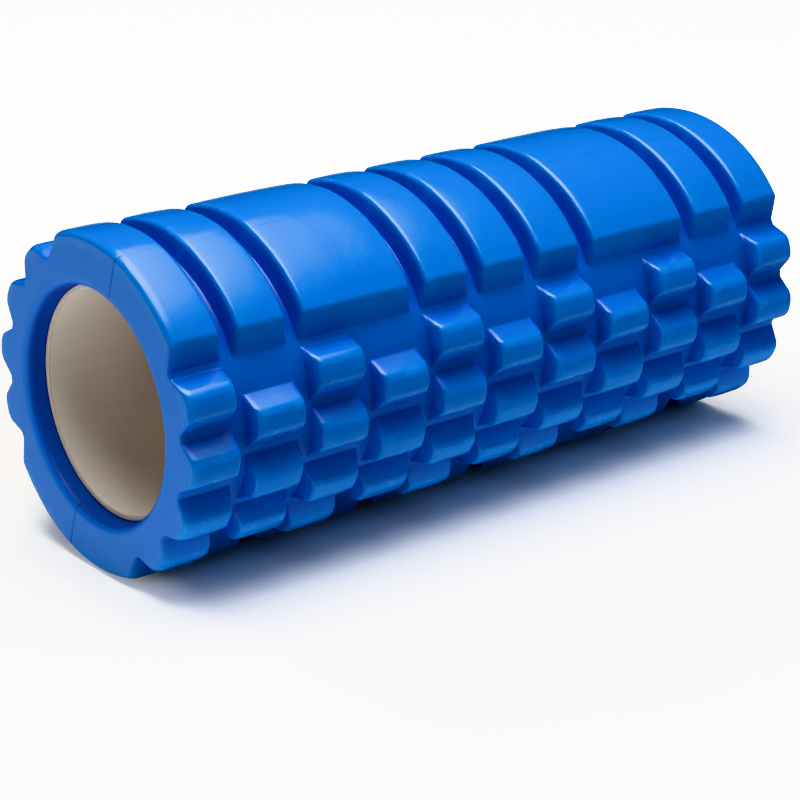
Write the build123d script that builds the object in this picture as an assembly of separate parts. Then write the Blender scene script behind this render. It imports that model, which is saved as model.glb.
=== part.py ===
from build123d import *
import os
from math import cos, radians, sin, sqrt

# A hollow foam massage roller: a rigid plastic tube inside two moulded foam half shells, all
# bonded together. The axis is X, and the origin is at the middle of the roller. Sizes are in
# millimetres and angles in degrees.

# Whole roller
length = 330.0
crown_radius = 70.0
tread_depth = 8.7
floor_radius = crown_radius - tread_depth
lie_angle = 108.1  # turn about +X that takes a shell from facing up to where the front one lies

# Core tube
core_outer_radius = 48.0
core_wall = 2.4
core_recess = 8.6  # how far each end of the tube is set back from the foam's end face
core_edge_round = 0.5
core_inner_radius = core_outer_radius - core_wall
core_length = length - 2 * core_recess

# Adhesive
core_glue_thickness = 0.2
seam_glue_thickness = 0.1
seam_glue_setback = 1.2  # how far the seam adhesive stops short of every foam surface

# Foam sleeve
bore_radius = core_outer_radius + core_glue_thickness
rim_round = 3.5  # bore edge of the foam at each end
end_crown_round = 2.5  # outer edge of the tread at each end
end_floor_round = 0.8  # outer edge of the groove floor at each end

# Tread along the axis: columns with drafted side walls
columns = 11
crown_width = 22.0
pitch = (length - crown_width) / (columns - 1)
axial_draft = 1.7  # how much wider a column is at the floor, on each side
axial_round = 1.3

# Tread round the axis: small blocks in the middle of each shell, long pads towards its seams
block_pitch_angle = 22.5
block_crown_half_width = 4.3
block_floor_half_width = 9.9
pad_floor_angle = 46.0
pad_crown_angle = 53.8
shell_half_angle = 90.0
block_crown_round = 5.5
pad_crown_round = 2.6
merged_pads = ((3, 4), (8, 9))  # neighbouring columns that share one wide pad

# The raised tread starts below the groove floor, so that it fuses into the sleeve
root_depth = 3.0
root_radius = floor_radius - root_depth
overshoot = 5.0  # how far a trimming shape runs past what it trims


def round_corner(face, corner, radius):
    """The face with the corner at this point rounded."""
    nearest = face.vertices().sort_by_distance((corner[0], corner[1], 0))[0]
    return fillet(nearest, radius)


def revolve_about_x(profile, arc=360.0):
    """A solid of revolution from a profile drawn in X and radius, centred on straight up."""
    solid = revolve(Plane.XZ * profile, Axis.X, arc)
    return Rot(X=-arc / 2) * solid


def point_at(radius, angle):
    """A point of the cross-section, with the angle counted from straight up."""
    return (radius * sin(radians(angle)), radius * cos(radians(angle)))


def extrude_along_x(outline, low, high):
    """A prism along X from an outline drawn in Y and Z."""
    return Pos(X=low) * extrude(Plane.YZ * outline, high - low)


def band_profile(first, last):
    """Section of a tread ring that covers the columns from first to last."""
    low = -length / 2 + (first - 1) * pitch
    high = -length / 2 + (last - 1) * pitch + crown_width
    spread = axial_draft * (tread_depth + root_depth) / tread_depth
    low_spread = 0 if first == 1 else spread
    high_spread = 0 if last == columns else spread
    low_corner = (low, crown_radius)
    high_corner = (high, crown_radius)
    outline = Polyline(
        (low - low_spread, root_radius),
        (high + high_spread, root_radius),
        high_corner,
        low_corner,
        close=True,
    )
    low_round = end_crown_round if first == 1 else axial_round
    high_round = end_crown_round if last == columns else axial_round
    band = round_corner(make_face(outline), low_corner, low_round)
    return round_corner(band, high_corner, high_round)


def tread_rings(spans):
    """One full tread ring for each (first, last) span of columns."""
    return [revolve_about_x(band_profile(first, last)) for first, last in spans]


def block_outline(angle):
    """Cross-section of one small block, centred on this angle."""
    slope = (block_floor_half_width - block_crown_half_width) / tread_depth
    root_half_width = block_floor_half_width + slope * root_depth
    top = sqrt(crown_radius**2 - block_crown_half_width**2)
    left = (-block_crown_half_width, top)
    right = (block_crown_half_width, top)
    sides = Polyline(left, (-root_half_width, root_radius), (root_half_width, root_radius), right)
    crown = ThreePointArc(right, (0, crown_radius), left)
    block = make_face(Curve() + [sides, crown])
    block = round_corner(block, left, block_crown_round)
    block = round_corner(block, right, block_crown_round)
    return Rot(Z=-angle) * block


def pad_outline(side):
    """Cross-section of a long pad, from its flank to the seam, on side +1 or -1."""
    floor_point = Vector(*point_at(floor_radius, pad_floor_angle))
    crown_point = Vector(*point_at(crown_radius, pad_crown_angle))
    root_point = floor_point + (floor_point - crown_point) * (root_depth / tread_depth)
    seam_crown = point_at(crown_radius, shell_half_angle)
    seam_root = point_at(root_radius, shell_half_angle)
    middle_crown = point_at(crown_radius, (pad_crown_angle + shell_half_angle) / 2)
    middle_root = point_at(root_point.length, (pad_floor_angle + shell_half_angle) / 2)
    flank = Line(root_point, crown_point)
    crown = ThreePointArc(crown_point, middle_crown, seam_crown)
    seam = Line(seam_crown, seam_root)
    root = ThreePointArc(seam_root, middle_root, root_point)
    pad = make_face(Curve() + [flank, crown, seam, root])
    pad = round_corner(pad, (crown_point.X, crown_point.Y), pad_crown_round)
    return pad if side > 0 else mirror(pad, Plane.YZ)


def tread():
    """Every block and pad of one shell, as separate solids that reach below the groove floor."""
    odd_columns = [(column, column) for column in range(1, columns + 1, 2)]
    even_columns = [(column, column) for column in range(2, columns, 2)]
    merged = [column for pair in merged_pads for column in pair]
    single = [(column, column) for column in range(1, columns + 1) if column not in merged]
    half_step = block_pitch_angle / 2
    layout = (
        (odd_columns, [block_outline(half_step * step) for step in (-3, -1, 1, 3)]),
        (even_columns, [block_outline(half_step * step) for step in (-2, 0, 2)]),
        (single + list(merged_pads), [pad_outline(-1), pad_outline(1)]),
    )
    pieces = []
    for spans, outlines in layout:
        reach = length / 2 + overshoot
        prisms = [extrude_along_x(outline, -reach, reach) for outline in outlines]
        for ring in tread_rings(spans):
            pieces += [ring & prism for prism in prisms]
    return pieces


def sleeve_half():
    """Plain half sleeve under the tread, with a rounded rim at each end of the bore."""
    end = length / 2
    corners = [(-end, bore_radius), (end, bore_radius), (end, floor_radius), (-end, floor_radius)]
    section = make_face(Polyline(*corners, close=True))
    for corner in corners:
        radius = rim_round if corner[1] == bore_radius else end_floor_round
        section = round_corner(section, corner, radius)
    return revolve_about_x(section, 2 * shell_half_angle)


def half_open(half):
    """A half facing up, trimmed to leave room for the seam adhesive."""
    size = 2 * (crown_radius + overshoot)
    return half - Box(length + 2 * overshoot, size, seam_glue_thickness)


def foam_shell():
    """One moulded foam half shell, facing up."""
    return half_open(sleeve_half().fuse(*tread()))


def core_glue():
    """Adhesive film between the tube and one half shell, facing up."""
    middle = core_outer_radius + core_glue_thickness / 2
    section = Pos(Y=middle) * Rectangle(core_length, core_glue_thickness)
    return half_open(revolve_about_x(section, 2 * shell_half_angle))


def seam_glue():
    """Adhesive in the seam on the +Y side, with the outline of the tread along the axis."""
    sleeve_depth = floor_radius - bore_radius
    flat = Pos(Y=bore_radius + sleeve_depth / 2) * Rectangle(length, sleeve_depth)
    spans = [(column, column) for column in range(1, columns + 1)] + list(merged_pads)
    outline = offset(flat + [band_profile(first, last) for first, last in spans], -seam_glue_setback)
    return extrude(outline, seam_glue_thickness / 2, both=True)


def core_tube():
    """Plain tube with its four end edges rounded."""
    section = Pos(Y=core_outer_radius - core_wall / 2) * Rectangle(core_length, core_wall)
    section = fillet(section.vertices(), core_edge_round)
    return revolve_about_x(section)


def as_laid(shape, turn=0.0):
    """A shape drawn for the shell facing up, moved to where it lies, plus a further turn."""
    return Rot(X=lie_angle + turn) * shape


shell = foam_shell()
film = core_glue()
seam = seam_glue()
nodes = {
    "core_tube": core_tube(),
    "foam_shell_front": as_laid(shell),
    "foam_shell_back": as_laid(shell, 180),
    "core_glue_front": as_laid(film),
    "core_glue_back": as_laid(film, 180),
    "seam_glue_top": as_laid(seam),
    "seam_glue_bottom": as_laid(seam, 180),
}

os.makedirs("parts", exist_ok=True)
for name, solid in nodes.items():
    export_step(solid, f"parts/{name}.step")
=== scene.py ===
import math

import bpy
import numpy as np
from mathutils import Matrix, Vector


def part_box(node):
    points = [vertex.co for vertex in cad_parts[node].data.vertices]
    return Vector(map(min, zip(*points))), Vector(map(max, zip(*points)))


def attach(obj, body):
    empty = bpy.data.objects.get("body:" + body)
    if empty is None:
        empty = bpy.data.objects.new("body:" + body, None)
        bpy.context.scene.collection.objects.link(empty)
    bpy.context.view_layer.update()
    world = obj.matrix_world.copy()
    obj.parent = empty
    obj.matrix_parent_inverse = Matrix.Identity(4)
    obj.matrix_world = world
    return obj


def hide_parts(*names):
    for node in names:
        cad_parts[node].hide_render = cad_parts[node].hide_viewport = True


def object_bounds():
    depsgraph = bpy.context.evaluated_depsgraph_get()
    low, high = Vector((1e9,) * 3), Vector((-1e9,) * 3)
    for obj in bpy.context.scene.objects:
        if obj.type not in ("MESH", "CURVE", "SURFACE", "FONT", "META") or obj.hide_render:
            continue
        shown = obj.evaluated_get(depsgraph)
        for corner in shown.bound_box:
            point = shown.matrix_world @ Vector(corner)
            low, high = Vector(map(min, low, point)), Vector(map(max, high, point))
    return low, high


# A blue foam massage roller on a pale studio floor. The two foam half shells are modelled here in
# full detail over the CAD frame; the tube and the adhesive keep their CAD shapes.
# Lengths of the roller are in millimetres until a mesh or a node gets them, when MM turns them
# into metres. The studio's lengths are in metres, except the camera's. Angles are in degrees.

MM = 0.001

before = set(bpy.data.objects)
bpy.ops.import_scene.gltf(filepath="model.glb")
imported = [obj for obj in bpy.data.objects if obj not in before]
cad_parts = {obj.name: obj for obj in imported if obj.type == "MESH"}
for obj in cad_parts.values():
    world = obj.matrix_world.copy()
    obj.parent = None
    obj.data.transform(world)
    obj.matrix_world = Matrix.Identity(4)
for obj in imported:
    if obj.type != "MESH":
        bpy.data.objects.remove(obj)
cad_low, cad_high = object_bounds()


# ---------------------------------------------------------------- sizes taken from the frame

HALF_LENGTH = cad_high.x / MM
CROWN_RADIUS = cad_high.z / MM
TUBE_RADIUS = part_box("core_tube")[1].z / MM
TUBE_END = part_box("core_tube")[1].x / MM

# ---------------------------------------------------------------- the foam's own sizes

TREAD_DEPTH = 8.7
FLOOR_RADIUS = CROWN_RADIUS - TREAD_DEPTH
MIDDLE_RADIUS = CROWN_RADIUS - TREAD_DEPTH / 2
BORE_RADIUS = TUBE_RADIUS + 0.2
RIM_ROUND = 3.5  # edge of the bore on the end faces

COLUMNS = 11
CROWN_WIDTH = 22.0
PITCH = (2 * HALF_LENGTH - CROWN_WIDTH) / (COLUMNS - 1)
AXIAL_RUN = 1.7  # how far a column's side wall slopes out on its way down
AXIAL_ROUNDS = (2.1, 0.8)  # at the crown and at the foot
CROWN_SAG = 0.5  # how far a crown's edges fall below its middle, along the axis
CROWN_SAG_REACH = 5.0  # how soon that dies away towards the middle
END_CROWN_ROUND = (4.5, 2.4)  # outer edge of a crown at the roller's end: along the axis, and down
END_FLOOR_ROUND = (1.5, 0.8)  # the same for the groove floor

BLOCK_STEP = 22.5  # between the blocks of one column
BLOCK_HALF_CROWN = 3.67
BLOCK_HALF_FLOOR = 9.77
BLOCK_ROUNDS = (6.0, 1.2)  # at the crown and at the foot
PAD_CROWN_START = 53.8  # from the middle of the shell
PAD_FLOOR_START = 46.2
PAD_ROUNDS = (2.6, 1.2)
PAD_SIDE_START = PAD_FLOOR_START - 1  # all beyond this angle counts as pad
MERGED_PADS = ((3, 4), (8, 9))  # neighbouring columns that share one wide pad

LIE_ANGLE = -18.1  # middle of the front shell, counted up from the horizontal
SEAM_ANGLE = 90.0  # from the middle of a shell to its seams
SEAM_GAP = 0.01  # from the plane of the seam to each shell
SEAM_ROUND = 0.02
END_SEAM_GAP = 0.08  # the same on the end faces, where the seam shows
END_SEAM_ROUND = 0.4
SEAM_REACH = 1.2  # beside a seam, the strip that is squeezed to open its gap
END_GAP_START = 6.0  # how far from the end face the seam's gap begins to widen, and over what run
END_GAP_RUN = 4.0

SWELLS = 14  # waves in the foam's unevenness
SWELL_LENGTHS = (18.0, 60.0)
SWELL_HEIGHT = 0.012  # of each wave
SWELL_SEED = 7

# ---------------------------------------------------------------- how finely the mesh follows them

ARC_STEPS = (9, 4)  # places round the crown's and the foot's arc of a block's or pad's flank
AXIAL_STEPS = (6, 4)  # the same for a column's side walls
CROWN_STEPS = 11  # rows along the flat of a crown, and how far they stay from its edges
CROWN_INSET = 1.9
PAD_STEPS = 18  # angles along a pad's crown, and how far they stay from its flank and the seam
PAD_INSETS = (2.5, 1.5)
FLANK_SKIP = 2  # places beside a flank that have no spare angle
NEAR_SEAM = (SEAM_REACH, 0.4, 0.2, 0.1, 0.04, 0.02, 0.01, 0.0)  # distances from the seam
EDGE_STEPS = 9  # rows round the outer edge of an end face
FACE_STEPS = 10
RIM_STEPS = 8
BORE_STEPS = 24
SHARP_ANGLE = 60  # edges sharper than this are not shaded smooth

# A column's wall runs out where the tread round the axis comes down to the groove floor
ROUNDS_SHARE = 0.25  # below this share of the tread's depth, a wall's rounds shrink
MITRE_SHARE = 0.3  # below this share, the rows stop following the mitre
LEAST_SCALE = 0.02  # a wall with nearly no height keeps at least these, so that its arcs exist
LEAST_RUN = 1e-4
LEAST_DEPTH = 1e-3


# ---------------------------------------------------------------- drafted wall with two rounds


def wall_height(outside, run, depth, rounds):
    """Height of a drafted wall over the groove floor, with true arcs at its crown and foot.

    outside is the distance beyond the crown's edge, run is how far the wall slopes out, and
    rounds are the radii at the crown and at the foot.
    """
    slope = np.arctan2(depth, run)
    height = depth - outside * depth / run
    for radius, at_crown in zip(rounds, (True, False)):
        tangent = radius * np.tan(slope / 2)
        reach = radius * np.sin(slope)
        along = outside + tangent if at_crown else run + tangent - outside
        sag = radius - np.sqrt(np.maximum(radius**2 - np.clip(along, 0, reach) ** 2, 0))
        height = np.where(along < reach, depth - sag if at_crown else sag, height)
        height = np.where(along < 0, depth if at_crown else 0.0, height)
    return height


def wall_places(run, depth, rounds, steps):
    """Distances outside the crown's edge that follow the two arcs of a wall."""
    slope = math.atan2(depth, run)
    places = []
    for radius, count, at_crown in zip(rounds, steps, (True, False)):
        tangent = radius * math.tan(slope / 2)
        along = radius * np.sin(np.linspace(0, slope, count))
        places += list(along - tangent if at_crown else run + tangent - along)
    return np.sort(places)


# ---------------------------------------------------------------- tread round the axis


def arc_length(angle):
    return np.radians(angle) * MIDDLE_RADIUS


def around_height(angle, odd):
    """Height of the tread on the middle line of an odd or even column."""
    height = np.zeros_like(angle)
    half_step = BLOCK_STEP / 2
    run = arc_length(BLOCK_HALF_FLOOR - BLOCK_HALF_CROWN)
    for step in (-3, -1, 1, 3) if odd else (-2, 0, 2):
        outside = arc_length(np.abs(angle - half_step * step) - BLOCK_HALF_CROWN)
        height = np.maximum(height, wall_height(outside, run, TREAD_DEPTH, BLOCK_ROUNDS))
    run = arc_length(PAD_CROWN_START - PAD_FLOOR_START)
    outside = arc_length(PAD_CROWN_START - np.abs(angle))
    return np.maximum(height, wall_height(outside, run, TREAD_DEPTH, PAD_ROUNDS))


def flank_angles(crown, floor, rounds):
    """Angles beyond the crown's edge that follow a flank from its crown angle to its floor angle."""
    run = arc_length(abs(floor - crown))
    return np.degrees(wall_places(run, TREAD_DEPTH, rounds, ARC_STEPS) / MIDDLE_RADIUS)


def angle_samples(odd):
    """Angles across a shell, close together on the flanks, and as many in either kind of column."""
    half_step = BLOCK_STEP / 2
    flank = BLOCK_HALF_CROWN + flank_angles(BLOCK_HALF_CROWN, BLOCK_HALF_FLOOR, BLOCK_ROUNDS)
    angles = [0.0]
    for step in (1, 3) if odd else (0, 2):
        centre = half_step * step
        angles += list(centre + flank)
        if step:
            angles += list(centre - flank) + [centre]
    angles += list(PAD_CROWN_START - flank_angles(PAD_CROWN_START, PAD_FLOOR_START, PAD_ROUNDS))
    if not odd:
        spare = sum(ARC_STEPS) + 1  # an odd column has one more flank, and one more block middle
        floor_start = half_step * 2 + BLOCK_HALF_FLOOR
        across = np.linspace(floor_start, PAD_FLOOR_START, spare + 2 * FLANK_SKIP)
        angles += list(across[FLANK_SKIP:-FLANK_SKIP])
    near_seam = SEAM_ANGLE - np.degrees(np.array(NEAR_SEAM) / CROWN_RADIUS)
    from_flank, to_seam = PAD_INSETS
    angles += list(np.linspace(PAD_CROWN_START + from_flank, near_seam[0] - to_seam, PAD_STEPS))
    angles += list(near_seam)
    half = np.array(sorted(angle for angle in angles if angle >= 0))
    return np.concatenate([-half[:0:-1], half])


# ---------------------------------------------------------------- tread along the axis


def column_edges(column):
    """Where a column's crown starts and stops."""
    low = -HALF_LENGTH + (column - 1) * PITCH
    return low, low + CROWN_WIDTH


def merged_with_next(column):
    return any(first == column for first, _ in MERGED_PADS)


def on_pad(angle):
    return np.abs(angle) > PAD_SIDE_START


def eased(value):
    value = np.clip(value, 0, 1)
    return value * value * (3 - 2 * value)


def wall_rows(edge, side, around):
    """Rows over one side wall of a column: x and height, with the wall mitred to the flanks.

    edge is the column's crown edge at full height, side is -1 or 1 for the wall's direction, and
    around is the height of the tread there.
    """
    share = around / TREAD_DEPTH
    scale = np.clip(share / ROUNDS_SHARE, LEAST_SCALE, 1)
    rounds = [radius * scale for radius in AXIAL_ROUNDS]
    run = np.maximum(AXIAL_RUN * share, LEAST_RUN)
    depth = np.maximum(around, LEAST_DEPTH)
    shift = AXIAL_RUN * (1 - share)  # a lower crown's edge lies further down the slope
    follow = eased(share / MITRE_SHARE)
    rows = []
    for place in wall_places(AXIAL_RUN, TREAD_DEPTH, AXIAL_ROUNDS, AXIAL_STEPS):
        crown_side = place < AXIAL_RUN / 2
        outside = place + shift * follow * crown_side
        rows.append((edge + side * outside, wall_height(outside - shift, run, depth, rounds)))
    return rows if side > 0 else rows[::-1]


def crown_sag(x, span_low, span_high):
    """How far a crown has sunk at x, for a crown or merged pad between these two edges."""
    sag = np.zeros_like(x)
    for inside in (x - span_low, span_high - x):
        sag += np.exp(-np.maximum(inside, 0) / CROWN_SAG_REACH)
    return CROWN_SAG * sag


def sunk(angle, x, height, column):
    """Height with the crown's sag along the axis taken off, in proportion to the height."""
    low, high = column_edges(column)
    pad_low = low - PITCH if merged_with_next(column - 1) else low
    pad_high = high + PITCH if merged_with_next(column) else high
    sag = np.where(on_pad(angle), crown_sag(x, pad_low, pad_high), crown_sag(x, low, high))
    return height - height / TREAD_DEPTH * sag


def column_wall(column, side, angle, height):
    """Rows over a column's wall on side -1 or 1, with the wall left out where a pad runs on."""
    low, high = column_edges(column)
    edge = high if side > 0 else low
    merged = merged_with_next(column if side > 0 else column - 1)
    rows = []
    for x, level in wall_rows(edge, side, height):
        level = np.where(merged & on_pad(angle), height, level)
        rows.append((angle, x, sunk(angle, x, level, column)))
    return rows


def tread_rows():
    """Rows from one end of the tread to the other, each with its angles, x and height."""
    angles = {odd: angle_samples(odd) for odd in (True, False)}
    around = {odd: around_height(angles[odd], odd) for odd in (True, False)}
    inner = HALF_LENGTH - END_CROWN_ROUND[0]
    rows = []
    for column in range(1, COLUMNS + 1):
        odd = column % 2 == 1
        angle = angles[odd]
        height = around[odd]
        low, high = column_edges(column)
        if column > 1:
            rows += column_wall(column, -1, angle, height)
        start = low + CROWN_INSET if column > 1 else -inner
        stop = high - CROWN_INSET if column < COLUMNS else inner
        for place in np.linspace(start, stop, CROWN_STEPS):
            x = np.full_like(angle, place)
            rows.append((angle, x, sunk(angle, x, height, column)))
        if column < COLUMNS:
            rows += column_wall(column, 1, angle, height)
            middle = (angle + angles[not odd]) / 2
            runs_on = merged_with_next(column) & on_pad(middle)
            level = np.where(runs_on, around_height(middle, odd), 0.0)
            x = np.full_like(angle, high + (PITCH - CROWN_WIDTH) / 2)
            rows.append((middle, x, sunk(middle, x, level, column)))
    return rows


# ---------------------------------------------------------------- foam half shell mesh


def unevenness(x, angle):
    """Faint swells of moulded foam, as a sum of long waves with fixed phases."""
    rng = np.random.default_rng(SWELL_SEED)
    field = np.zeros_like(x)
    around = np.radians(angle) * CROWN_RADIUS
    for _ in range(SWELLS):
        length = rng.uniform(*SWELL_LENGTHS)
        heading = rng.uniform(0, 2 * math.pi)
        phase = rng.uniform(0, 2 * math.pi)
        wave = np.cos(heading) * x + np.sin(heading) * around
        field += np.sin(2 * math.pi * wave / length + phase)
    return SWELL_HEIGHT * field


def from_seam(angle):
    """Distance to the nearer seam, along the crown."""
    return np.radians(SEAM_ANGLE - np.abs(angle)) * CROWN_RADIUS


def seam_drop(angle, radius):
    """How far the surface falls away in the round of this radius beside a seam."""
    inside = np.clip(radius - from_seam(angle), 0, radius)
    return radius - np.sqrt(radius**2 - inside**2)


def end_rows(outer, share, angle):
    """Rows from the last tread row, over the outer edge, down the face and round the rim.

    outer is the radius of the last tread row, and share is its share of the tread's depth.
    """
    axial, down = (
        floor + (crown - floor) * share for crown, floor in zip(END_CROWN_ROUND, END_FLOOR_ROUND)
    )
    face = HALF_LENGTH - seam_drop(angle, END_SEAM_ROUND)
    rim_top = BORE_RADIUS + RIM_ROUND
    rows = []
    for turn in np.linspace(0, math.pi / 2, EDGE_STEPS):
        sunk_in = (HALF_LENGTH - face) * math.sin(turn)
        place = HALF_LENGTH - axial * (1 - math.sin(turn)) - sunk_in
        rows.append((place, outer - down * (1 - math.cos(turn))))
    edge = outer - down
    for part in np.linspace(0, 1, FACE_STEPS)[1:-1]:
        rows.append((face, edge + (rim_top - edge) * part))
    for turn in np.linspace(0, math.pi / 2, RIM_STEPS):
        rim_radius = rim_top - RIM_ROUND * math.sin(turn)
        rows.append((face - RIM_ROUND * (1 - math.cos(turn)), np.full_like(outer, rim_radius)))
    return rows


def shell_grid():
    """Angle, x and radius of a shell's whole section loop, one row per step of the loop."""
    angle, x, height = (np.array(part) for part in zip(*tread_rows()))
    radius = FLOOR_RADIUS + height + unevenness(x, angle) - seam_drop(angle, SEAM_ROUND)
    end_angle = angle[-1]
    share = height[-1] / TREAD_DEPTH
    right = end_rows(radius[-1], share, end_angle)
    left = [(-place, outer) for place, outer in reversed(end_rows(radius[0], share, end_angle))]
    inner = HALF_LENGTH - RIM_ROUND
    bore = [
        (np.full_like(end_angle, place), np.full_like(end_angle, BORE_RADIUS))
        for place in np.linspace(inner, -inner, BORE_STEPS)[1:-1]
    ]
    rest = right + bore + left
    rest_x, rest_radius = (np.array(part) for part in zip(*rest))
    angle = np.concatenate([angle, np.tile(end_angle, (len(rest), 1))])
    return angle, np.concatenate([x, rest_x]), np.concatenate([radius, rest_radius])


def build_shell(name, node, turn, material):
    """One foam half shell as a closed mesh, turned by this many degrees from the front one."""
    angle, x, radius = shell_grid()
    bearing = np.radians(angle + LIE_ANGLE + turn)
    middle = math.radians(LIE_ANGLE + turn)
    near_seam = np.clip(1 - from_seam(angle) / SEAM_REACH, 0, 1)
    near_end = eased((np.abs(x) - HALF_LENGTH + END_GAP_START) / END_GAP_RUN)
    gap = near_seam * (SEAM_GAP + (END_SEAM_GAP - SEAM_GAP) * near_end)
    y = -radius * np.cos(bearing) - gap * math.cos(middle)
    z = radius * np.sin(bearing) + gap * math.sin(middle)
    points = np.stack([x, y, z], axis=-1).reshape(-1, 3) * MM
    index = np.arange(angle.size).reshape(angle.shape)
    following = np.roll(index, -1, axis=0)
    quads = np.stack([index[:, :-1], following[:, :-1], following[:, 1:], index[:, 1:]], axis=-1)
    caps = [list(index[::-1, 0]), list(index[:, -1])]
    mesh = bpy.data.meshes.new(name)
    mesh.from_pydata(points.tolist(), [], quads.reshape(-1, 4).tolist() + caps)
    mesh.update()
    mesh.shade_smooth()
    mesh.set_sharp_from_angle(angle=math.radians(SHARP_ANGLE))
    mesh.materials.append(material)
    shell = bpy.data.objects.new(name, mesh)
    bpy.context.scene.collection.objects.link(shell)
    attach(shell, "root")
    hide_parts(node)


# ---------------------------------------------------------------- material nodes


def new_material(name):
    material = bpy.data.materials.new(name)
    material.use_nodes = True
    return material, material.node_tree, material.node_tree.nodes["Principled BSDF"]


def ramp_between(tree, value, start, stop, low=0.0, high=1.0):
    """A smooth ramp that goes from low to high as a value goes from start to stop."""
    ramp = tree.nodes.new("ShaderNodeMapRange")
    ramp.interpolation_type = "SMOOTHSTEP"
    ramp.inputs["From Min"].default_value = start
    ramp.inputs["From Max"].default_value = stop
    ramp.inputs["To Min"].default_value = low
    ramp.inputs["To Max"].default_value = high
    tree.links.new(value, ramp.inputs["Value"])
    return ramp.outputs["Result"]


def ramp_in_mm(tree, value, start, stop, high=1.0):
    """A smooth ramp from 0 to high, over a length whose start and stop are in millimetres."""
    return ramp_between(tree, value, start * MM, stop * MM, high=high)


def combine(tree, operation, first, second):
    """One math node on two values, each a float or a socket."""
    node = tree.nodes.new("ShaderNodeMath")
    node.operation = operation
    for socket, value in zip(node.inputs, (first, second)):
        if isinstance(value, float):
            socket.default_value = value
        else:
            tree.links.new(value, socket)
    return node.outputs["Value"]


def product(tree, first, second):
    return combine(tree, "MULTIPLY", first, second)


def total(tree, first, *others):
    """The sum of two or more values."""
    for other in others:
        first = combine(tree, "ADD", first, other)
    return first


def blend_colors(tree, factor, first, second):
    """Mix two colours, each a value or a socket, by a factor socket."""
    node = tree.nodes.new("ShaderNodeMix")
    node.data_type = "RGBA"
    tree.links.new(factor, node.inputs["Factor"])
    ends = [socket for socket in node.inputs if socket.type == "RGBA"]
    for socket, value in zip(ends, (first, second)):
        if isinstance(value, tuple):
            socket.default_value = value
        else:
            tree.links.new(value, socket)
    return next(socket for socket in node.outputs if socket.type == "RGBA")


def stretched(tree, vector, factors):
    """A vector with each part multiplied by its factor."""
    node = tree.nodes.new("ShaderNodeVectorMath")
    node.operation = "MULTIPLY"
    tree.links.new(vector, node.inputs[0])
    node.inputs[1].default_value = factors
    return node.outputs["Vector"]


def length_of(tree, vector):
    node = tree.nodes.new("ShaderNodeVectorMath")
    node.operation = "LENGTH"
    tree.links.new(vector, node.inputs[0])
    return node.outputs["Value"]


def object_place(tree):
    return tree.nodes.new("ShaderNodeTexCoord").outputs["Object"]


def parts_of(tree, vector):
    """The X, Y and Z sockets of a vector."""
    split = tree.nodes.new("ShaderNodeSeparateXYZ")
    tree.links.new(vector, split.inputs[0])
    return split.outputs


def noise(tree, place, size, detail=2.0):
    """Noise from 0 to 1 whose blotches are about this many millimetres across."""
    node = tree.nodes.new("ShaderNodeTexNoise")
    tree.links.new(place, node.inputs["Vector"])
    node.inputs["Scale"].default_value = 1 / (size * MM)
    node.inputs["Detail"].default_value = detail
    return node.outputs["Fac"]


def pebbles(tree, place, size):
    """Rounded cells about this many millimetres across, 0 at their middles."""
    node = tree.nodes.new("ShaderNodeTexVoronoi")
    node.feature = "SMOOTH_F1"
    tree.links.new(place, node.inputs["Vector"])
    node.inputs["Scale"].default_value = 1 / (size * MM)
    return node.outputs["Distance"]


def bump(tree, shader, layers):
    """Stack bumps on a shader, each from a height socket and its depth in millimetres."""
    normal = None
    for height, depth in layers:
        node = tree.nodes.new("ShaderNodeBump")
        node.inputs["Distance"].default_value = depth * MM
        tree.links.new(height, node.inputs["Height"])
        if normal:
            tree.links.new(normal, node.inputs["Normal"])
        normal = node.outputs["Normal"]
    tree.links.new(normal, shader.inputs["Normal"])


# ---------------------------------------------------------------- foam

FOAM_BLUE = (0.0, 0.180, 0.52, 1)
FOAM_PALER = (0.002, 0.184, 0.53, 1)
# painted shade in the grooves, and also the colour of the dark grains
FOAM_GROOVE_SHADE_AND_GRAIN = (0.0, 0.155, 0.53, 1)
FOAM_WORN = (0.02, 0.225, 0.59, 1)
# painted shade for the tread's corners and the bore
FOAM_PAINTED_SHADE = (0.0, 0.05, 0.38, 1)
FOAM_SPECULAR = 0.8

# The most that each of these changes the colour; the first two paint shade into the corners and the
# bore
CORNER_SHADE_SHARE = 0.78
BORE_SHADE_SHARE = 0.7
WORN_SHARE = 0.7
GRAIN_SHARE = 0.25

# Roughness in the grooves and on the crowns, and the most that the others add to it
GROOVE_ROUGHNESS = 0.3
CROWN_ROUGHNESS = 0.13
SPOT_ROUGHNESS = 0.07
RIM_ROUGHNESS = 0.2
WORN_ROUGHNESS = 0.12

# Radii between which each of these fades in
RAISED = (FLOOR_RADIUS + 1, CROWN_RADIUS - 2)
ABOVE_WALLS = (CROWN_RADIUS - 2.4, CROWN_RADIUS - 1.0)
BELOW_CROWNS = (CROWN_RADIUS - 0.1, CROWN_RADIUS - 0.6)
ON_RIM = (BORE_RADIUS + RIM_ROUND, BORE_RADIUS + 1)
# the next pair is where the bore's painted shade fades in
IN_BORE = (BORE_RADIUS + 1.5, BORE_RADIUS + 0.3)

# Levels of noise between which blotches, scuffs and dark grains fade in
BLOTCHES = (0.3, 0.7)
SCUFFS = (0.42, 0.68)
DARK_GRAINS = (0.55, 0.8)

# Painted shade in the tread's corners, from an ambient occlusion node
CORNER_REACH = 16  # how far neighbouring surfaces count
CORNER_RAYS = 4
CORNER_OPENNESS = (0.97, 0.45)  # where the corners' tone begins, and where it is full


def painted_corner_shade(tree):
    """Painted shade: a share that rises where neighbouring surfaces crowd in, as down a groove's side
    walls.
    """
    node = tree.nodes.new("ShaderNodeAmbientOcclusion")
    node.samples = CORNER_RAYS
    node.only_local = True
    node.inputs["Distance"].default_value = CORNER_REACH * MM
    return ramp_between(tree, node.outputs["AO"], *CORNER_OPENNESS, high=CORNER_SHADE_SHARE)


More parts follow.
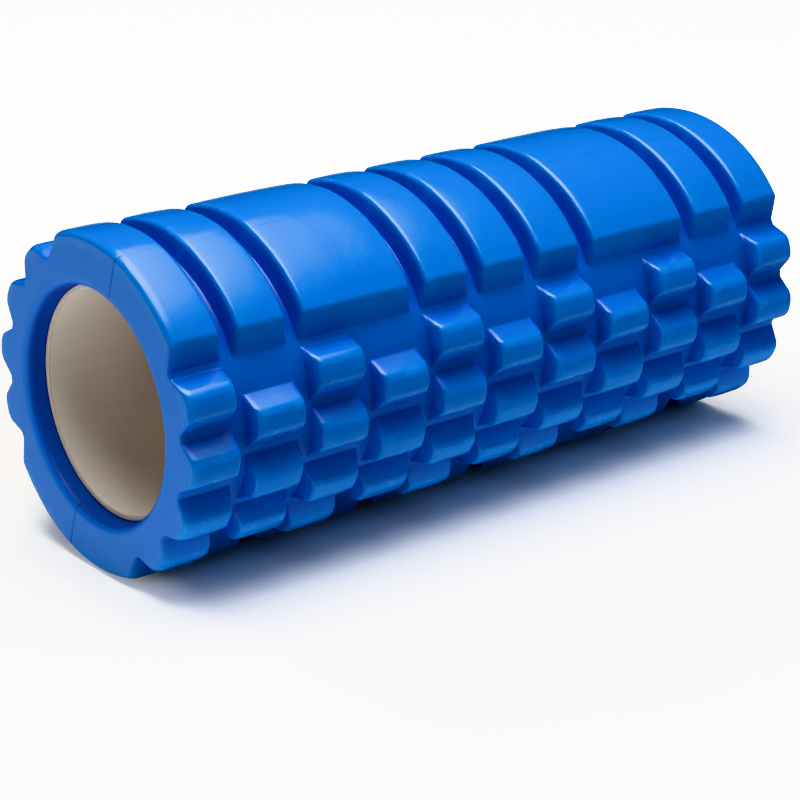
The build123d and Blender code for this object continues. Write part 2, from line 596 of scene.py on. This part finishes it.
def foam_material():
    """Moulded closed-cell foam: a satin pebbled skin, duller in the grooves, scuffed on its edges,
    with painted shade deepening its grooves, corners and bore.
    """
    material, tree, shader = new_material("blue_eva_foam")
    place = object_place(tree)
    radius = length_of(tree, stretched(tree, place, (0, 1, 1)))
    grain = noise(tree, place, size=0.9)
    raised = ramp_in_mm(tree, radius, *RAISED)
    edges = product(
        tree, ramp_in_mm(tree, radius, *ABOVE_WALLS), ramp_in_mm(tree, radius, *BELOW_CROWNS)
    )
    scuffs = ramp_between(tree, noise(tree, place, size=7, detail=4.0), *SCUFFS)
    worn = product(tree, edges, scuffs)

    mottle = ramp_between(tree, noise(tree, place, size=38, detail=3.0), *BLOTCHES)
    color = blend_colors(tree, mottle, FOAM_BLUE, FOAM_PALER)
    # Painted shade: the grooves take a deeper blue than the crowns.
    color = blend_colors(tree, raised, FOAM_GROOVE_SHADE_AND_GRAIN, color)
    color = blend_colors(tree, product(tree, worn, WORN_SHARE), color, FOAM_WORN)
    dark_grains = ramp_between(tree, grain, *DARK_GRAINS, high=GRAIN_SHARE)
    color = blend_colors(tree, dark_grains, color, FOAM_GROOVE_SHADE_AND_GRAIN)
    # Painted shade in the tread's corners and in the bore.
    color = blend_colors(tree, painted_corner_shade(tree), color, FOAM_PAINTED_SHADE)
    bore_shade = ramp_in_mm(tree, radius, *IN_BORE, high=BORE_SHADE_SHARE)
    color = blend_colors(tree, bore_shade, color, FOAM_PAINTED_SHADE)
    tree.links.new(color, shader.inputs["Base Color"])

    spots = noise(tree, place, size=14, detail=4.0)
    roughness = total(
        tree,
        ramp_between(tree, raised, 0.0, 1.0, GROOVE_ROUGHNESS, CROWN_ROUGHNESS),
        ramp_between(tree, spots, *BLOTCHES, high=SPOT_ROUGHNESS),
        ramp_in_mm(tree, radius, *ON_RIM, high=RIM_ROUGHNESS),
        product(tree, worn, WORN_ROUGHNESS),
    )
    tree.links.new(roughness, shader.inputs["Roughness"])
    shader.inputs["Specular IOR Level"].default_value = FOAM_SPECULAR

    dimples = noise(tree, place, size=5, detail=1.0)
    bump(tree, shader, [(dimples, 0.05), (pebbles(tree, place, size=1.1), 0.02), (grain, 0.012)])
    return material


# ---------------------------------------------------------------- tube

TUBE_CREAM = (0.85, 0.785, 0.70, 1)
TUBE_WARMER = (0.81, 0.735, 0.645, 1)
TUBE_CUT = (0.62, 0.55, 0.47, 1)  # the sawn ends, and the specks
TUBE_STREAKS = (0.35, 0.75)  # levels of noise between which streaks and clouds fade in
TUBE_SPECKS = (0.62, 0.75)
STREAK_SHARE = 0.4
SPECK_SHARE = 0.25
TUBE_ROUGHNESS = (0.42, 0.52)
CUT_ROUGHNESS = 0.25  # added on the sawn ends
SAWN_END = (TUBE_END - 0.6, TUBE_END - 0.3)
STREAK_STRETCH = (0.02, 1, 1)


def tube_material():
    """Extruded cream plastic: faint streaks along the tube, fine specks, and dull sawn ends."""
    material, tree, shader = new_material("cream_tube_plastic")
    place = object_place(tree)
    streaks = noise(tree, stretched(tree, place, STREAK_STRETCH), size=2.2, detail=3.0)
    clouds = noise(tree, place, size=30, detail=3.0)
    color = TUBE_CREAM
    for blotches in (streaks, clouds):
        share = ramp_between(tree, blotches, *TUBE_STREAKS, high=STREAK_SHARE)
        color = blend_colors(tree, share, color, TUBE_WARMER)
    specks = ramp_between(tree, noise(tree, place, size=0.7), *TUBE_SPECKS, high=SPECK_SHARE)
    color = blend_colors(tree, specks, color, TUBE_CUT)
    along = length_of(tree, stretched(tree, place, (1, 0, 0)))
    cut = ramp_in_mm(tree, along, *SAWN_END)
    color = blend_colors(tree, cut, color, TUBE_CUT)
    tree.links.new(color, shader.inputs["Base Color"])

    roughness = ramp_between(tree, streaks, *BLOTCHES, *TUBE_ROUGHNESS)
    roughness = total(tree, roughness, product(tree, cut, CUT_ROUGHNESS))
    tree.links.new(roughness, shader.inputs["Roughness"])
    sawn = product(tree, noise(tree, place, size=0.5), cut)
    bump(tree, shader, [(streaks, 0.05), (noise(tree, place, size=1.5), 0.015), (sawn, 0.2)])
    return material


# ---------------------------------------------------------------- adhesive

GLUE_BLUE = (0.002, 0.06, 0.3, 1)
GLUE_DARKER = (0.001, 0.035, 0.18, 1)
GLUE_BLOTCHES = (0.35, 0.65)
GLUE_ROUGHNESS = (0.32, 0.5)


def glue_material():
    """Contact adhesive: a rubbery film, thick and thin in blotches, with tiny bubbles."""
    material, tree, shader = new_material("contact_adhesive")
    place = object_place(tree)
    blotches = noise(tree, place, size=4, detail=3.0)
    darker = ramp_between(tree, blotches, *GLUE_BLOTCHES)
    tree.links.new(blend_colors(tree, darker, GLUE_BLUE, GLUE_DARKER), shader.inputs["Base Color"])
    roughness = ramp_between(tree, blotches, *BLOTCHES, *GLUE_ROUGHNESS)
    tree.links.new(roughness, shader.inputs["Roughness"])
    bump(tree, shader, [(blotches, 0.1), (pebbles(tree, place, size=0.8), 0.05)])
    return material


# ---------------------------------------------------------------- studio

WHITE = (1, 1, 1, 1)

# Camera: lengths in millimetres
CAMERA_AZIMUTH = -40.055
CAMERA_ELEVATION = 18.27
CAMERA_DISTANCE = 1013.6
CAMERA_AIM_RIGHT = -6.92
CAMERA_AIM_UP = -33.32
CAMERA_LENS = 105.69
CAMERA_NEAR = 50

# The floor as each kind of ray meets it, as if lights and black flags stood round the roller.
# A pair says between which places a patch of lit floor fades in. With two pairs, both limit it.
FLOOR_Z = cad_low.z
FLOOR_REACH = 6.0
FLOOR_ROUGHNESS = 0.9
FLOOR_COLOR = (1.0, 0.96, 0.91, 1)
FLOOR_BOUNCED = (0.5, 0.5, 0.5, 1)  # as matt surfaces meet it
FLOOR_MIRRORED = (0.03, 0.04, 0.06, 1)  # as glossy surfaces meet it
SWEEP = (0.2, 0.45)  # distances from the roller's middle
SWEEP_GLOW = 1.6  # brightness of the far floor and the backdrop, as the camera sees them
# Painted light: the camera sees the floor glow in front of and left of the roller, lightening its
# shadow there
LIT_FRONT_Y = (-0.035, -0.09)
LIT_FRONT_GLOW = 0.08
LIT_UNDERNEATH = 0.25  # share of that glow under the roller
LIT_LEFT_X = (-0.14, -0.165)
LIT_LEFT_GLOW = 0.22
LEFT_X = (-0.155, -0.18)
LEFT_Y = (-0.15, 0.0)
LEFT_BOUNCED = 0.75
LEFT_MIRRORED = 0.7
STRIP_Y = (-0.045, -0.065)
STRIP_END_Y = (-0.18, -0.11)
STRIP_BOUNCED = 1.0
STRIP_MIRRORED = 0.4
BACK_Y = (0.05, 0.2)
BACK_X = (-0.17, -0.12)
BACK_MIRRORED = 0.3

# Cool fill from the right on matt surfaces
FILL = 0.2
FILL_COLOR = (0.4, 0.62, 1.0, 1)
FILL_SIDE = (-0.3, 0.5)  # a direction's X, where the fill begins and where it is full

# The softbox overhead. A pair says between which places it fades in from an edge.
SOFTBOX_HEIGHT = 1.0
SOFTBOX_LOW = (-0.60, -0.85)
SOFTBOX_HIGH = (0.95, 0.95)
SOFTBOX_LEFT = (-0.60, -0.45)
SOFTBOX_FRONT = (-0.85, -0.10)
SOFTBOX_BACK = (0.48, 0.42)  # y minus BACK_SLANT times x
BACK_SLANT = 0.5
SOFTBOX_RIGHT = (0.76, 0.58)  # x minus RIGHT_SLANT times y
RIGHT_SLANT = 0.1
SOFTBOX_DIM = 1.5  # strength near its right edge, and at its brightest
SOFTBOX_BRIGHT = 6.0

# Area lights that no glossy surface mirrors: place, size, power in watts and colour
SOFT_LIGHTS = (
    ("front_fill", (0.6, -0.9, 0.9), (1.8, 1.2), 6.0, (0.6, 0.75, 1.0)),
    ("left_fill", (-0.95, -0.1, 0.3), (0.6, 0.6), 1.2, (1.0, 1.0, 1.0)),
)


def add_camera():
    """Camera on a sphere round the roller's middle, aimed a little beside and below it."""
    azimuth = math.radians(CAMERA_AZIMUTH)
    elevation = math.radians(CAMERA_ELEVATION)
    back = Vector((
        math.sin(azimuth) * math.cos(elevation),
        -math.cos(azimuth) * math.cos(elevation),
        math.sin(elevation),
    ))
    right = Vector((math.cos(azimuth), math.sin(azimuth), 0))
    up = right.cross(-back)
    place = back * CAMERA_DISTANCE * MM
    aim = (right * CAMERA_AIM_RIGHT + up * CAMERA_AIM_UP) * MM
    data = bpy.data.cameras.new("camera")
    data.lens = CAMERA_LENS
    data.clip_start = CAMERA_NEAR * MM
    camera = bpy.data.objects.new("camera", data)
    camera.location = place
    camera.rotation_euler = (aim - place).to_track_quat("-Z", "Y").to_euler()
    bpy.context.scene.collection.objects.link(camera)
    bpy.context.scene.camera = camera


def flat_sheet(name, low, high, z):
    """A horizontal rectangle that belongs to the studio."""
    mesh = bpy.data.meshes.new(name)
    corners = [(low[0], low[1]), (high[0], low[1]), (high[0], high[1]), (low[0], high[1])]
    mesh.from_pydata([(x, y, z) for x, y in corners], [], [(0, 1, 2, 3)])
    sheet = bpy.data.objects.new(name, mesh)
    bpy.context.scene.collection.objects.link(sheet)
    return sheet


def studio_place(tree):
    return tree.nodes.new("ShaderNodeNewGeometry").outputs["Position"]


def ray_kinds(tree):
    """Sockets that are 1 for one kind of ray and 0 for the others."""
    return tree.nodes.new("ShaderNodeLightPath").outputs


def slanted(tree, parts, x_factor, y_factor):
    """A distance across the softbox, along a slanted direction."""
    return total(tree, product(tree, parts["X"], x_factor), product(tree, parts["Y"], y_factor))


def add_softbox():
    """One large overhead softbox, brightest at its left, with slanted edges and a soft front."""
    sheet = flat_sheet("softbox", SOFTBOX_LOW, SOFTBOX_HIGH, SOFTBOX_HEIGHT)
    sheet.visible_camera = False
    material = bpy.data.materials.new("softbox")
    material.use_nodes = True
    tree = material.node_tree
    tree.nodes.clear()
    parts = parts_of(tree, studio_place(tree))
    from_right = slanted(tree, parts, 1.0, -RIGHT_SLANT)
    from_back = slanted(tree, parts, -BACK_SLANT, 1.0)
    strength = ramp_between(tree, from_right, SOFTBOX_RIGHT[1], 0.0, SOFTBOX_DIM, SOFTBOX_BRIGHT)
    edges = (
        (from_right, SOFTBOX_RIGHT),
        (from_back, SOFTBOX_BACK),
        (parts["X"], SOFTBOX_LEFT),
        (parts["Y"], SOFTBOX_FRONT),
    )
    for distance, fade in edges:
        strength = product(tree, strength, ramp_between(tree, distance, *fade))
    glow = tree.nodes.new("ShaderNodeEmission")
    tree.links.new(strength, glow.inputs["Strength"])
    output = tree.nodes.new("ShaderNodeOutputMaterial")
    tree.links.new(glow.outputs["Emission"], output.inputs["Surface"])
    sheet.data.materials.append(material)


def add_soft_lights():
    """Soft lights that lift the blocks and the tube without a highlight of their own."""
    for name, place, size, power, color in SOFT_LIGHTS:
        data = bpy.data.lights.new(name, "AREA")
        data.shape = "RECTANGLE"
        data.size, data.size_y = size
        data.energy = power
        data.color = color
        light = bpy.data.objects.new(name, data)
        light.location = place
        light.rotation_euler = Vector(place).to_track_quat("Z", "Y").to_euler()
        light.visible_glossy = False
        bpy.context.scene.collection.objects.link(light)


def add_floor():
    """Pale floor that glows to the camera away from the roller, with painted light lifting its shadow
    in front and at the left, and lights the roller in patches.
    """
    floor = flat_sheet("floor", (-FLOOR_REACH, -FLOOR_REACH), (FLOOR_REACH, FLOOR_REACH), FLOOR_Z)
    material, tree, shader = new_material("floor")
    shader.inputs["Roughness"].default_value = FLOOR_ROUGHNESS
    shader.inputs["Specular IOR Level"].default_value = 0.0
    shader.inputs["Emission Color"].default_value = WHITE
    place = studio_place(tree)
    parts = parts_of(tree, place)
    rays = ray_kinds(tree)
    sweep = ramp_between(tree, length_of(tree, place), *SWEEP)
    # painted light that lifts the roller's shadow in front and at the left
    lit_front = ramp_between(tree, parts["Y"], *LIT_FRONT_Y, LIT_UNDERNEATH)
    lit_left = ramp_between(tree, parts["X"], *LIT_LEFT_X)
    left = ramp_between(tree, parts["X"], *LEFT_X)
    left = product(tree, left, ramp_between(tree, parts["Y"], *LEFT_Y))
    strip = ramp_between(tree, parts["Y"], *STRIP_Y)
    strip = product(tree, strip, ramp_between(tree, parts["Y"], *STRIP_END_Y))
    back = ramp_between(tree, parts["Y"], *BACK_Y)
    back = product(tree, back, ramp_between(tree, parts["X"], *BACK_X))
    patches = (
        (sweep, SWEEP_GLOW, "Is Camera Ray"),
        (lit_front, LIT_FRONT_GLOW, "Is Camera Ray"),
        (lit_left, LIT_LEFT_GLOW, "Is Camera Ray"),
        (left, LEFT_BOUNCED, "Is Diffuse Ray"),
        (strip, STRIP_BOUNCED, "Is Diffuse Ray"),
        (left, LEFT_MIRRORED, "Is Glossy Ray"),
        (strip, STRIP_MIRRORED, "Is Glossy Ray"),
        (back, BACK_MIRRORED, "Is Glossy Ray"),
    )
    glows = [product(tree, product(tree, patch, glow), rays[ray]) for patch, glow, ray in patches]
    tree.links.new(total(tree, *glows), shader.inputs["Emission Strength"])
    tint = blend_colors(tree, rays["Is Diffuse Ray"], FLOOR_COLOR, FLOOR_BOUNCED)
    tint = blend_colors(tree, rays["Is Glossy Ray"], tint, FLOOR_MIRRORED)
    tree.links.new(tint, shader.inputs["Base Color"])
    floor.data.materials.append(material)


def add_world():
    """White to the camera, and a dim cool fill to matt surfaces from one side."""
    world = bpy.data.worlds.new("studio")
    bpy.context.scene.world = world
    world.use_nodes = True
    tree = world.node_tree
    background = tree.nodes["Background"]
    rays = ray_kinds(tree)
    color = blend_colors(tree, rays["Is Camera Ray"], FILL_COLOR, WHITE)
    tree.links.new(color, background.inputs["Color"])
    heading = parts_of(tree, tree.nodes.new("ShaderNodeTexCoord").outputs["Generated"])
    side = ramp_between(tree, heading["X"], *FILL_SIDE)
    fill = product(tree, product(tree, side, rays["Is Diffuse Ray"]), FILL)
    shown = product(tree, rays["Is Camera Ray"], SWEEP_GLOW)
    tree.links.new(total(tree, fill, shown), background.inputs["Strength"])


# ---------------------------------------------------------------- the whole scene

foam = foam_material()
build_shell("foam_half_front", "foam_shell_front", 0.0, foam)
build_shell("foam_half_back", "foam_shell_back", 180.0, foam)
tube = tube_material()
adhesive = glue_material()
for node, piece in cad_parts.items():
    if not node.startswith("foam"):
        piece.data.materials.clear()
        piece.data.materials.append(tube if node == "core_tube" else adhesive)

add_floor()
add_world()
add_softbox()
add_soft_lights()
add_camera()
bpy.context.scene.view_settings.view_transform = "Khronos PBR Neutral"
bpy.context.scene.view_settings.look = "High Contrast"
